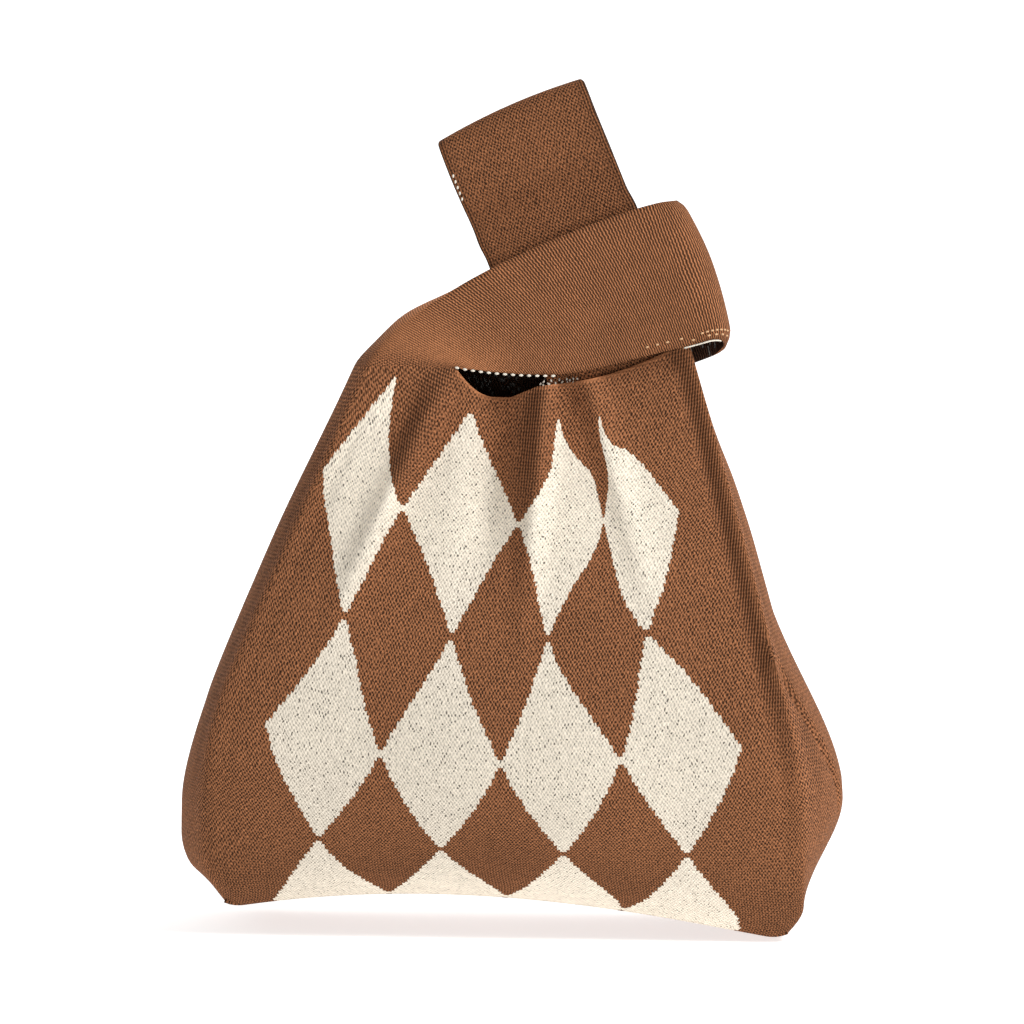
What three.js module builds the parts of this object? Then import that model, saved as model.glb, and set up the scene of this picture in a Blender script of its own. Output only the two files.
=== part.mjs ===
// A knitted knot bag: a soft pouch of five panels, with a short handle on its left shoulder and a long
// handle on its right one. The long handle goes through the short one's loop, which closes the mouth,
// and its folded end stands out of the top as a carry loop for the wrist.
// Millimetres. X runs to the right of the front, Y to the back and Z up. The origin is under the middle.
import * as THREE from "three";

// Pouch
const knitWall = 3.4; // one layer of double knit
const seamGap = 0.3; // between pieces that are sewn edge to edge
const panelHalfWidth = 125; // front panel at its foot, middle to corner seam
const shoulderHalfWidth = 70; // the same at the shoulders
const shoulderHeight = 240.5; // the left shoulder, and the mouth's rim beside it
const taperFoot = 92; // height where the taper towards the shoulders starts
const taperRounding = 5; // how softly the straight foot turns into the taper
const shoulderShift = 9; // the drawn top stands to the right of the foot
const footInset = 7; // the corners tuck in at the foot
const footInsetHeight = 40;

const halfDepth = 44; // middle to front panel, where the pouch is fullest
const fullHeight = 58; // height where it is fullest
const leftShoulderHalfDepth = 18;
const drawnSide = 0.25; // past this share of the half width the top is drawn in to the long handle
const depthBow = 0.35; // how far the taper of the depth is rounded, 0 for a straight one
const footTuck = 9; // the front and back draw in to the base
const footTuckHeight = 34;
const panelSwell = 8; // front and back bow out by this in the middle
const swellHeight = 104;
const swellReach = 118;
const gussetSwell = 17; // the sides bow out by this where the pouch is fullest
const gussetSwellTop = 6;
const gussetFlat = 130; // above this height they bow out by no more than that

const baseWall = 3.4;

// Mouth
const mouthLeft = -24; // the short handle ends here
const mouthLow = -6; // lowest point of the front rim
const pout = 8; // the front rim is pushed forward in the middle
const poutWidth = 18;
const backPout = 5;
const gatherStart = 176; // folds run down from the mouth to this height
const gatherDepth = 2.6;
const gatherPitch = 17;
const backDipStart = -19; // the back rim sinks more gently, from here to the long handle
const hemRadius = 1.7;
const hemShare = 0.47; // of the rim's dip, where the hem starts clear of the short handle
const yarnGap = 0.6; // between an edge and the hem or edging yarn beside it

// Long handle, in the plane of its own slope
const strapTilt = THREE.MathUtils.degToRad(21); // it leans to the left
const strapHalfWidth = 32.5;
const strapWall = 4.2;
const wristGap = 6.4; // between its front and back layers
const swingX = 18.5; // middle of the line about which the carry loop swings
const swingRise = 60; // of that line over the left shoulder
const loopLength = 51; // swing line to the outside of the top fold
const runningGap = 0.35; // round the rolled foot of the loop
const swingSpare = 1; // the sliding stretch ends this much lower outside, where the loop swings down past it
const drawnEnd = -42; // lower end of the stretch that slides, from the swing line
const rootEnd = -66; // lower end of the fixed stretch, from the swing line
const cornerInset = 1.5; // the loop narrows by this at each end of its top fold
const cornerHeight = 16; // over this much of the strap on both sides of the fold

// Short handle: its right end is measured in the long handle's plane, from the swing line
const sleeveGap = 0.5; // between the handles where one goes through the other
const bandWall = 4.2;
const bandSwell = 1.6;
const bandTop = -10.8; // upper corner of the right end, lengthways
const bandFoot = -70.5; // lower corner
const foldSpareTop = 9.4; // right end past the long handle's edge, at the upper corner
const foldSpareFoot = 5.8; // and at the lower one
const shoulderRise = new THREE.Vector2(10, 20); // how the upper edge sets off from the left seam, X and Z
const upperRun = 62; // the upper edge comes straight to the right end over this length
const mouthSag = new THREE.Vector2(12, -3); // how the lower edge sets off from the rim, X and Z
const backLift = 5; // the back's lower edge sags this much less
const lowerSag = new THREE.Vector2(-48, -24); // and how it reaches the right end
const shoulderBow = 9; // the left shoulder bows out between the two legs
const shoulderShare = 0.45; // of the upper edge that the shoulder covers

// Stitching
const seamRadius = 1.1;
const seamSpare = 0.1; // keeps the cord's edges clear as well, where the corner isn't square
const seamShort = 8; // the right seams stop this far below the shoulder, under the short handle
const edgingRadius = 1;
const edgingStart = 0.03; // share of an edge left bare at each end
const mouthCorner = 0.26; // share of a leg's lower edge that is sewn to the pouch

// Facets
const panelColumns = 20;
const leftShare = 0.6; // of them left of the long handle
const panelRows = 16;
const gussetColumns = 8;
const strapColumns = 8;
const bandRows = 16;
const foldSteps = 10;
const loopSteps = 36;
const cordSides = 6;
const cordSteps = 26;
const hemSteps = 8;
const rollSides = 16;
const fewSteps = 4; // along or across a nearly flat stretch
const settleRounds = 8; // after which a rim point's height no longer changes

// Values that follow from the ones above
const along = new THREE.Vector3(-Math.sin(strapTilt), 0, Math.cos(strapTilt));
const across = new THREE.Vector3(Math.cos(strapTilt), 0, Math.sin(strapTilt));
const swingLine = new THREE.Vector3(swingX, 0, shoulderHeight + swingRise);
const loopHalfDepth = wristGap / 2 + strapWall;
const bandInner = loopHalfDepth + sleeveGap;
const bandOuter = bandInner + bandWall;
const wallFoot = baseWall + seamGap;
const strapFootLeft = strapPoint(-strapHalfWidth, rootEnd, 0);
const strapFootRight = strapPoint(strapHalfWidth, rootEnd, 0);
const strapFootSlope = (strapFootRight.z - strapFootLeft.z) / (strapFootRight.x - strapFootLeft.x);
const foldHigh = strapPoint(strapHalfWidth + foldSpareTop, bandTop, 0);
const foldLow = strapPoint(strapHalfWidth + foldSpareFoot, bandFoot, 0);

const brownKnit = new THREE.MeshStandardMaterial({ color: 0x734a30, roughness: 0.95, metalness: 0 });
const sideKnit = new THREE.MeshStandardMaterial({ color: 0x7a4d35, roughness: 0.95, metalness: 0 });
const handleKnit = new THREE.MeshStandardMaterial({ color: 0x825537, roughness: 0.95, metalness: 0 });
const seamYarn = new THREE.MeshStandardMaterial({ color: 0x5f3c28, roughness: 0.95, metalness: 0 });
const paleYarn = new THREE.MeshStandardMaterial({ color: 0xddd3c1, roughness: 0.95, metalness: 0 });

const smooth = (t) => THREE.MathUtils.smoothstep(t, 0, 1);
const mix = THREE.MathUtils.lerp;
const drop = (t) => Math.max(0, 1 - t) ** 2; // 1 at t = 0, easing to 0 at t = 1
const arch = (t) => 4 * t * (1 - t); // 1 half way, 0 at both ends

// A point of the long handle: sideways, lengthways and front to back from its swing line.
function strapPoint(side, length, y) {
  const p = swingLine.clone().addScaledVector(across, side).addScaledVector(along, length);
  p.y = y;
  return p;
}

// Outline of the pouch at a height

function middleX(z) {
  return shoulderShift * Math.max(0, (z - taperFoot) / (shoulderHeight - taperFoot));
}

// The corner seams run straight down from the shoulders and then turn upright.
function halfWidth(z) {
  const slope = (panelHalfWidth - shoulderHalfWidth) / (shoulderHeight - taperFoot);
  const taper = shoulderHalfWidth + slope * (shoulderHeight - z);
  const apart = panelHalfWidth - taper;
  const rounded = (panelHalfWidth + taper - Math.hypot(apart, 2 * taperRounding)) / 2;
  return rounded - footInset * drop(z / footInsetHeight);
}

// side is -1 at the left seam and 1 at the right one, where the pouch is drawn in to the long handle.
function depthAt(side, z) {
  const top = mix(leftShoulderHalfDepth, loopHalfDepth, smooth((side + 1) / (drawnSide + 1)));
  const rise = THREE.MathUtils.clamp((z - fullHeight) / (strapFootLeft.z - fullHeight), 0, 1);
  return mix(halfDepth, top, mix(rise, smooth(rise), depthBow)) - footTuck * drop(z / footTuckHeight);
}

function swellAt(z) {
  return panelSwell * Math.max(0, 1 - ((z - swellHeight) / swellReach) ** 2);
}

function gussetSwellAt(z) {
  const rise = smooth((z - fullHeight) / (gussetFlat - fullHeight));
  return mix(gussetSwell, gussetSwellTop, rise) * (1 - drop(z / fullHeight));
}

// Folds that fan down from the mouth, and the rim that they push forward.
function mouthFolds(x, z, push) {
  const near = smooth((z - gatherStart) / (shoulderHeight - gatherStart));
  const middle = Math.exp(-(((x - mouthLow) / poutWidth) ** 2));
  const ripple = gatherDepth * Math.cos((2 * Math.PI * (x - mouthLow)) / gatherPitch);
  return near * middle * (push + ripple);
}

// Where the rim starts to dip and where it is down.
function rimDip(facing) {
  return facing < 0 ? [mouthLeft, mouthLow] : [backDipStart, strapFootLeft.x];
}

// Height of the rim at x: level beside the left shoulder, a dip, and a slope along the long handle's foot.
function rimAt(facing, x) {
  const slope = strapFootLeft.z + strapFootSlope * Math.max(0, x - strapFootLeft.x);
  const [start, end] = rimDip(facing);
  return mix(shoulderHeight, slope, smooth((x - start) / (end - start)));
}

// Skin of the front (facing -1) or back (facing 1) panel.
function panelPoint(facing, side, z, inset) {
  const x = middleX(z) + (halfWidth(z) - inset) * side;
  const push = facing < 0 ? pout : backPout;
  const y = depthAt(side, z) - inset + swellAt(z) * (1 - side * side) + mouthFolds(x, z, push);
  return new THREE.Vector3(x, facing * y, z);
}

// Skin of the left (hand -1) or right (hand 1) gusset; turn is -1 at its front seam and 1 at its back one.
function gussetPoint(hand, turn, z, inset) {
  const x = middleX(z) + hand * (halfWidth(z) - inset + gussetSwellAt(z) * (1 - turn * turn));
  return new THREE.Vector3(x, turn * (depthAt(hand, z) - inset), z);
}

// Meshes

// A closed solid between two skins, each a function of u and v from 0 to 1.
function slab(outer, inner, columns, rows) {
  const vertices = [];
  const triangles = [];
  const grid = (columns + 1) * (rows + 1);
  for (const skin of [outer, inner]) {
    for (let j = 0; j <= rows; j++) {
      for (let i = 0; i <= columns; i++) {
        vertices.push(...skin(i / columns, j / rows).toArray());
      }
    }
  }
  const at = (layer, i, j) => layer * grid + j * (columns + 1) + i;
  const face = (a, b, c, d) => triangles.push(a, b, c, a, c, d);
  for (let j = 0; j < rows; j++) {
    for (let i = 0; i < columns; i++) {
      face(at(0, i, j), at(0, i + 1, j), at(0, i + 1, j + 1), at(0, i, j + 1));
      face(at(1, i, j), at(1, i, j + 1), at(1, i + 1, j + 1), at(1, i + 1, j));
    }
  }
  for (let i = 0; i < columns; i++) {
    face(at(0, i, 0), at(1, i, 0), at(1, i + 1, 0), at(0, i + 1, 0));
    face(at(0, i, rows), at(0, i + 1, rows), at(1, i + 1, rows), at(1, i, rows));
  }
  for (let j = 0; j < rows; j++) {
    face(at(0, 0, j), at(0, 0, j + 1), at(1, 0, j + 1), at(1, 0, j));
    face(at(0, columns, j), at(1, columns, j), at(1, columns, j + 1), at(0, columns, j + 1));
  }
  const geometry = new THREE.BufferGeometry();
  geometry.setAttribute("position", new THREE.Float32BufferAttribute(vertices, 3));
  geometry.setIndex(triangles);
  return facingOut(geometry);
}

// Turns every face round if the solid is inside out.
function facingOut(geometry) {
  const position = geometry.getAttribute("position");
  const index = geometry.getIndex();
  const corner = [0, 1, 2].map(() => new THREE.Vector3());
  let volume = 0;
  for (let k = 0; k < index.count; k += 3) {
    corner.forEach((p, n) => p.fromBufferAttribute(position, index.getX(k + n)));
    volume += corner[0].dot(corner[1].clone().cross(corner[2]));
  }
  if (volume < 0) {
    for (let k = 0; k < index.count; k += 3) {
      const first = index.getX(k);
      index.setX(k, index.getX(k + 1));
      index.setX(k + 1, first);
    }
  }
  geometry.computeVertexNormals();
  return geometry;
}

// The skin that lies `depth` behind another one, along its normal.
function behind(skin, depth) {
  const step = 1e-3;
  return (u, v) => {
    const right = skin(Math.min(1, u + step), v).sub(skin(Math.max(0, u - step), v));
    const up = skin(u, Math.min(1, v + step)).sub(skin(u, Math.max(0, v - step)));
    return skin(u, v).addScaledVector(right.cross(up).normalize(), -depth);
  };
}

// A round cord along a smooth line through the points.
function cord(points, radius, steps) {
  const ring = new THREE.Shape();
  ring.setFromPoints(
    Array.from({ length: cordSides }, (_, k) => {
      const turn = (2 * Math.PI * k) / cordSides;
      return new THREE.Vector2(radius * Math.cos(turn), radius * Math.sin(turn));
    }),
  );
  return new THREE.ExtrudeGeometry(ring, {
    extrudePath: new THREE.CatmullRomCurve3(points),
    steps,
    bevelEnabled: false,
  });
}

const bag = new THREE.Group();

function add(name, geometry, material) {
  const mesh = new THREE.Mesh(geometry, material);
  mesh.name = name;
  bag.add(mesh);
}

// Pouch: a front and a back panel, two gussets and a base

// Columns of a panel: they close up on both sides of the long handle's left corner.
function sideOf(u) {
  const corner = (strapFootLeft.x - middleX(strapFootLeft.z)) / halfWidth(strapFootLeft.z);
  const edge = 1 - seamGap / panelHalfWidth;
  if (u < leftShare) return mix(-edge, corner, u / leftShare);
  return mix(corner, edge, (u - leftShare) / (1 - leftShare));
}

// A point of a panel's upper edge: its height and its place along the edge depend on each other.
function rimPoint(facing, side, inset) {
  let z = shoulderHeight;
  for (let k = 0; k < settleRounds; k++) {
    z = rimAt(facing, middleX(z) + (halfWidth(z) - inset) * side);
  }
  return panelPoint(facing, side, z, inset);
}

function addPanel(name, facing) {
  const skin = (inset) => (u, v) => {
    const side = sideOf(u);
    return panelPoint(facing, side, mix(wallFoot, rimPoint(facing, side, inset).z, v), inset);
  };
  add(name, slab(skin(0), skin(knitWall), panelColumns, panelRows), brownKnit);
}

// The seam gap is a share of the gusset's depth at each height, because the gusset narrows upwards.
function addGusset(name, hand, top) {
  const skin = (inset) => (u, v) => {
    const z = mix(wallFoot, top, v);
    const turn = (2 * u - 1) * (1 - seamGap / (depthAt(hand, z) - knitWall));
    return gussetPoint(hand, turn, z, inset);
  };
  add(name, slab(skin(0), skin(knitWall), gussetColumns, panelRows), sideKnit);
}

function addBase() {
  const outline = new THREE.Shape();
  const corners = [];
  const steps = panelColumns;
  for (let k = 0; k < steps; k++) {
    corners.push(panelPoint(-1, (2 * k) / steps - 1, wallFoot, 0));
  }
  for (let k = 0; k < gussetColumns; k++) {
    corners.push(gussetPoint(1, (2 * k) / gussetColumns - 1, wallFoot, 0));
  }
  for (let k = 0; k < steps; k++) {
    corners.push(panelPoint(1, 1 - (2 * k) / steps, wallFoot, 0));
  }
  for (let k = 0; k < gussetColumns; k++) {
    corners.push(gussetPoint(-1, 1 - (2 * k) / gussetColumns, wallFoot, 0));
  }
  outline.setFromPoints(corners.map((p) => new THREE.Vector2(p.x, p.y)));
  add("base_panel", new THREE.ExtrudeGeometry(outline, { depth: baseWall, bevelEnabled: false }), brownKnit);
}

const rightGussetTop = rimPoint(-1, 1, knitWall).z; // under the sloping foot of the long handle

addPanel("front_panel", -1);
addPanel("back_panel", 1);
addGusset("left_gusset", -1, shoulderHeight);
addGusset("right_gusset", 1, rightGussetTop);
addBase();

// Corner seams: a raised line of linking yarn outside each corner of the pouch

function addCornerSeam(name, facing, hand, top) {
  const stand = (seamRadius + seamGap) * Math.SQRT1_2 + seamSpare;
  const points = [];
  const foot = wallFoot + seamRadius;
  for (let k = 0; k <= panelRows; k++) {
    const corner = panelPoint(facing, hand, mix(foot, top - seamRadius, k / panelRows), 0);
    points.push(corner.add(new THREE.Vector3(hand * stand, facing * stand, 0)));
  }
  add(name, cord(points, seamRadius, cordSteps), seamYarn);
}

addCornerSeam("front_left_seam", -1, -1, shoulderHeight);
addCornerSeam("front_right_seam", -1, 1, rightGussetTop - seamShort);
addCornerSeam("back_left_seam", 1, -1, shoulderHeight);
addCornerSeam("back_right_seam", 1, 1, rightGussetTop - seamShort);

// Mouth hems: the rolled edge between the two handles

function addHem(name, facing) {
  const rims = [];
  for (let k = 0; k <= panelColumns; k++) {
    rims.push(rimPoint(facing, sideOf(k / panelColumns), knitWall / 2));
  }
  const rimOver = (x) => {
    const k = rims.findIndex((p) => p.x > x);
    return rims[k - 1].clone().lerp(rims[k], (x - rims[k - 1].x) / (rims[k].x - rims[k - 1].x));
  };
  const [start, end] = rimDip(facing);
  const points = [];
  for (let k = 0; k <= hemSteps; k++) {
    const x = mix(mix(start, end, hemShare), strapFootLeft.x - 2 * hemRadius, k / hemSteps);
    const way = rimOver(x + hemRadius).sub(rimOver(x - hemRadius));
    const up = new THREE.Vector3(-way.z, 0, way.x).normalize();
    points.push(rimOver(x).addScaledVector(up, hemRadius + yarnGap));
  }
  add(name, cord(points, hemRadius, cordSteps), brownKnit);
}

addHem("front_mouth_hem", -1);
addHem("back_mouth_hem", 1);

// Short handle: a front leg and a back leg from the left shoulder, joined by the fold at the right end

const foldAlong = foldHigh.clone().sub(foldLow).normalize();
const foldOut = new THREE.Vector3(foldAlong.z, 0, -foldAlong.x);

// Upper and lower edge of a leg: each leaves the pouch where the panel ends and reaches the right end.
function legEdges(facing) {
  const y = facing * bandOuter;
  const edge = (start, leave, arrive, end) => {
    start.z += seamGap;
    const first = new THREE.Vector3(start.x + leave.x, (start.y + y) / 2, start.z + leave.y);
    const last = new THREE.Vector3(end.x, y, end.z);
    return new THREE.CubicBezierCurve3(start, first, last.clone().add(arrive), last);
  };
  const mouthSide = (mouthLeft - middleX(shoulderHeight)) / halfWidth(shoulderHeight);
  const seam = panelPoint(facing, -1, shoulderHeight, 0);
  const rim = panelPoint(facing, mouthSide, shoulderHeight, 0);
  const level = across.clone().multiplyScalar(-upperRun);
  const lift = facing < 0 ? 0 : backLift;
  const leave = new THREE.Vector2(mouthSag.x, mouthSag.y + lift);
  const arrive = new THREE.Vector3(lowerSag.x, 0, lowerSag.y + lift);
  return { upper: edge(seam, shoulderRise, level, foldHigh), lower: edge(rim, leave, arrive, foldLow) };
}

function legSkin(facing) {
  const { upper, lower } = legEdges(facing);
  return (u, v) => {
    const p = lower.getPoint(v).lerp(upper.getPoint(v), u);
    p.y += facing * bandSwell * arch(u) * arch(v);
    return p;
  };
}

function addLeg(name, facing) {
  const skin = legSkin(facing);
  const outer = facing < 0 ? skin : (u, v) => skin(1 - u, v);
  add(name, slab(outer, behind(outer, bandWall), strapColumns, bandRows), handleKnit);
}

// Half a tube round the right edge of the long handle.
function addFold() {
  const skin = (radius) => (u, v) => {
    const turn = Math.PI * (v - 0.5);
    const x = mix(foldLow.x, foldHigh.x, u);
    const z = mix(foldLow.z, foldHigh.z, u);
    const out = radius * Math.cos(turn) + seamGap;
    return new THREE.Vector3(x + foldOut.x * out, radius * Math.sin(turn), z + foldOut.z * out);
  };
  add("short_handle_fold", slab(skin(bandOuter), skin(bandInner), fewSteps, foldSteps), handleKnit);
}

// The left shoulder: the gusset's top, which closes the two legs along their upper edges.
function addShoulder() {
  const front = legEdges(-1).upper;
  const back = legEdges(1).upper;
  const skin = (inset) => (u, v) => {
    const t = v * shoulderShare;
    const way = front.getTangent(t);
    const out = new THREE.Vector3(-way.z, 0, way.x).normalize();
    const bow = mix(shoulderBow, knitWall + seamGap, v) - inset;
    return front.getPoint(t).lerp(back.getPoint(t), u).addScaledVector(out, seamGap + bow * arch(u));
  };
  add("short_handle_shoulder", slab(skin(0), skin(knitWall), gussetColumns, gussetColumns), sideKnit);
}

addLeg("short_handle_front", -1);
addLeg("short_handle_back", 1);
addFold();
addShoulder();

// Long handle: its fixed feet, the stretch that slides in the short handle, and the carry loop

function addStrapSlide(name, facing) {
  const skin = (y, high) => (u, v) =>
    strapPoint(mix(-strapHalfWidth, strapHalfWidth, u), mix(drawnEnd, high, v), facing * y);
  const outer = skin(loopHalfDepth, -loopHalfDepth - swingSpare);
  const inner = skin(wristGap / 2, -Math.sqrt((loopHalfDepth + runningGap) ** 2 - (wristGap / 2) ** 2));
  add(name, slab(outer, inner, strapColumns, fewSteps), handleKnit);
}

// The fixed foot starts on the panel's rim and comes in to the plane of the sliding stretch.
function addStrapFoot(name, facing) {
  const skin = (y, inset) => (u, v) => {
    const low = rootEnd + seamGap;
    const p = strapPoint(mix(-strapHalfWidth, strapHalfWidth, u), mix(low, drawnEnd - seamGap, v), 0);
    const foot = strapPoint(mix(-strapHalfWidth, strapHalfWidth, u), low, 0);
    const side = (foot.x - middleX(foot.z)) / (halfWidth(foot.z) - inset);
    const rim = Math.abs(panelPoint(facing, side, foot.z, inset).y);
    p.y = facing * mix(rim, y, smooth(v));
    return p;
  };
  add(name, slab(skin(loopHalfDepth, 0), skin(wristGap / 2, knitWall), strapColumns, foldSteps), handleKnit);
}

for (const [name, facing] of [["front", -1], ["back", 1]]) {
  addStrapFoot(`long_handle_${name}_foot`, facing);
  addStrapSlide(`long_handle_${name}_slide`, facing);
}

// Rolled foot of the carry loop: the two layers drawn together where they bend over the band.
function addLoopRoll() {
  const profile = new THREE.CylinderGeometry(loopHalfDepth, loopHalfDepth, 2 * strapHalfWidth, rollSides);
  profile.rotateZ(Math.PI / 2);
  profile.rotateY(-strapTilt);
  profile.translate(...swingLine.toArray());
  add("carry_loop_roll", profile, handleKnit);
}

// Front layer, round top and back layer in one strip, open at both sides and narrower at the top's corners.
function loopSkin(halfDepth, out) {
  const top = loopLength - loopHalfDepth;
  const low = loopHalfDepth + runningGap;
  const straight = top - low;
  const arc = Math.PI * loopHalfDepth;
  return (u, v) => {
    const run = v * (2 * straight + arc);
    const fromTop = Math.abs(run - straight - arc / 2);
    const reach = strapHalfWidth + out - cornerInset * drop(fromTop / cornerHeight);
    const side = mix(-reach, reach, u);
    if (run < straight) return strapPoint(side, low + run, -halfDepth);
    if (run > straight + arc) return strapPoint(side, low + 2 * straight + arc - run, halfDepth);
    const turn = (run - straight) / loopHalfDepth;
    return strapPoint(side, top + halfDepth * Math.sin(turn), -halfDepth * Math.cos(turn));
  };
}

addLoopRoll();
const bandBody = slab(loopSkin(loopHalfDepth, 0), loopSkin(wristGap / 2, 0), fewSteps, loopSteps);
add("carry_loop_band", bandBody, handleKnit);

// Edging: the pale yarn that binds the cut edges of both handles

function addEdging(name, points) {
  add(name, cord(points, edgingRadius, cordSteps), paleYarn);
}

function addLoopEdging(name, u) {
  const skin = loopSkin(loopHalfDepth - strapWall / 2, edgingRadius + yarnGap);
  const points = [];
  for (let k = 0; k <= loopSteps; k++) {
    points.push(skin(u, mix(edgingStart, 1 - edgingStart, k / loopSteps)));
  }
  addEdging(name, points);
}

// Along the lower edge of a leg, hung under the middle of its thickness.
function addLegEdging(name, facing) {
  const { lower } = legEdges(facing);
  const points = [];
  for (let k = 0; k <= bandRows; k++) {
    const t = mix(mouthCorner, 1 - edgingStart, k / bandRows);
    const p = lower.getPoint(t);
    const way = lower.getTangent(t);
    p.addScaledVector(new THREE.Vector3(way.z, 0, -way.x).normalize(), edgingRadius + yarnGap);
    p.y -= (facing * bandWall) / 2;
    points.push(p);
  }
  addEdging(name, points);
}

addLegEdging("short_handle_front_edging", -1);
addLegEdging("short_handle_back_edging", 1);
addLoopEdging("carry_loop_left_edging", 0);
addLoopEdging("carry_loop_right_edging", 1);

export default bag;
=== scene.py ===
"""Looks of a knitted knot bag, round its solid part.

One soft shell of double knit makes the pouch and the short handle. The long handle leaves the pouch's
right shoulder, goes through the short handle and ends in a carry loop. Surfaces are worked out in
millimetres in the part's frame (X right, Y back, Z up) and scaled to metres when a mesh is made.
"""

import math

import bmesh
import bpy
import numpy as np
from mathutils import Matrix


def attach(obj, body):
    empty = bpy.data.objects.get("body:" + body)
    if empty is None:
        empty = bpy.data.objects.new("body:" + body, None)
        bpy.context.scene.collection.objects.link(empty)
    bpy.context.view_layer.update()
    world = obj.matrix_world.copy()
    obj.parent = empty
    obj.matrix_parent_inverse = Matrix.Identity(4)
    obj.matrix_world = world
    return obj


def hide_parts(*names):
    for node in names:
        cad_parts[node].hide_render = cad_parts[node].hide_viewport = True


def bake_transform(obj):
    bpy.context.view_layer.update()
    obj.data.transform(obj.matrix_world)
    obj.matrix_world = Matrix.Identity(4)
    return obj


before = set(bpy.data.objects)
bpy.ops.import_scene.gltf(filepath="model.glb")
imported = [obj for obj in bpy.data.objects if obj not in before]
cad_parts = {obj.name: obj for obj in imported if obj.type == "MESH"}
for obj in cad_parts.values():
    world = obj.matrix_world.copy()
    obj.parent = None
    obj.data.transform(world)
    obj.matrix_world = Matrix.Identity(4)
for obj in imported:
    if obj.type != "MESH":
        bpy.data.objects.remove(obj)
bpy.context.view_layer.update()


# Shell: the pouch and the short handle
# The real bag is knitted like a vest: a front and a back with side gussets, and its left shoulder runs on
# into a short strap that goes right, round the long handle and down to the back. The knit is heavy and
# soft, so the panels bow, the corners only show as fold lines and the mouth is gathered.

MM = 0.001
FOOT, FULL_HEIGHT, SHOULDER_HEIGHT = 0.4, 58, 240.5
HALF_DEPTH, LEFT_TOP_DEPTH, RIGHT_TOP_DEPTH = 44, 18, 7.4
LEFT_SHOULDER, LEFT_TAPER, LEFT_WIDEST, LEFT_ROUNDING = 61, 0.444, 128, 4
RIGHT_SHOULDER, RIGHT_TAPER, RIGHT_WIDEST, RIGHT_ROUNDING = 77.5, 0.285, 124.5, 3.5
FOOT_DRAWN_IN, FOOT_DRAWN_FLAT = 7, 9
LEFT_FOOT_HEIGHT, RIGHT_FOOT_HEIGHT = 40, 12
FOOT_HALF_LENGTH = 120
LEFT_CORNER_RAISED, FOOT_SAG, CORNER_ROUNDED = 11.5, 54, 4.5
SWELL, SWELL_MIDDLE, SWELL_REACH = 8, 104, 118
MOUTH_LEFT, MOUTH_LOW, MOUTH_LOW_HEIGHT = -24, -6, 227
WALL = 3.2

STRAP_TILT = math.radians(21)
STRAP_HALF_WIDTH = 32.5
STRAP_ROOT = -66
SWING = np.array([18.5, 0, 300.5])
ALONG = np.array([-math.sin(STRAP_TILT), 0, math.cos(STRAP_TILT)])
ACROSS = np.array([math.cos(STRAP_TILT), 0, math.sin(STRAP_TILT)])
BAND_RADIUS = 12.1
FRONT_RAISED, BACK_HANGS = 5, 3

WALE, WALE_BESIDE_FOLD = 1.2, 1.45
ARGYLE_WALES, ARGYLE_COURSES = 40, 64
DIAMONDS_PER_SIDE = 2.44
DIAMOND_HEIGHT = 102
LEFT_SMILE, RIGHT_SMILE = 22.4, 9.9
GUSSET_WALE = 300
LEG_COURSES, FOLD_COURSES = 104, 33


def smooth(t):
    """3 t^2 - 2 t^3, from 0 at t = 0 to 1 at t = 1, and level beyond."""
    t = np.clip(t, 0, 1)
    return t * t * (3 - 2 * t)


def above(value, start, span):
    """0 up to start, 1 from a span past it, and smooth between."""
    return smooth((value - start) / span)


def below(value, end, span):
    """1 up to a span before end, 0 from end on, and smooth between."""
    return smooth((end - value) / span)


def mix(a, b, t):
    """From a at t = 0 straight to b at t = 1."""
    return a + (b - a) * t


def drop(t):
    """(1 - t)^2 up to t = 1, and nothing beyond."""
    return np.maximum(0, 1 - t) ** 2


def bell(t):
    """A bump of height 1: exp(-t^2)."""
    return np.exp(-t * t)


def bump(value, centre, width):
    """A bell about a centre. At a width beside it about a third is left."""
    return bell((value - centre) / width)


def softly_least(a, b, rounding):
    """The lesser of a and b, rounded off where they meet: half of a + b - hypot(a - b, 2 rounding)."""
    return (a + b - np.hypot(a - b, 2 * rounding)) / 2


def strap(side, length, y=0.0):
    """A point of the long handle: sideways and lengthways from the line about which its loop swings."""
    side, length, y = np.broadcast_arrays(*(np.asarray(part, float) for part in (side, length, y)))
    point = SWING + side[..., None] * ACROSS + length[..., None] * ALONG
    point[..., 1] = y
    return point


STRAP_FOOT_LEFT = strap(-STRAP_HALF_WIDTH, STRAP_ROOT)
STRAP_FOOT_RIGHT = strap(STRAP_HALF_WIDTH, STRAP_ROOT)
STRAP_FOOT_WAY = STRAP_FOOT_RIGHT - STRAP_FOOT_LEFT
STRAP_FOOT_SLOPE = STRAP_FOOT_WAY[2] / STRAP_FOOT_WAY[0]
FOLD_HIGH = strap(STRAP_HALF_WIDTH + 8.7, -6.6)
FOLD_LOW = strap(STRAP_HALF_WIDTH + 6.6, -73.5)


def fold_line(hand, z):
    """How far out the left (hand -1) or right (hand 1) corner fold runs: a straight taper down from the
    shoulder, rounded into an upright at the widest place and drawn in again at the foot."""
    down = SHOULDER_HEIGHT - z
    left = softly_least(LEFT_SHOULDER + LEFT_TAPER * down, LEFT_WIDEST, LEFT_ROUNDING)
    left = left - FOOT_DRAWN_IN * drop(z / LEFT_FOOT_HEIGHT)
    right = softly_least(RIGHT_SHOULDER + RIGHT_TAPER * down, RIGHT_WIDEST, RIGHT_ROUNDING)
    right = right - FOOT_DRAWN_IN * drop(z / RIGHT_FOOT_HEIGHT)
    return np.where(hand < 0, left, right)


def middle_x(z):
    """Halfway between the two corner folds."""
    return (fold_line(1, z) - fold_line(-1, z)) / 2


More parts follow.
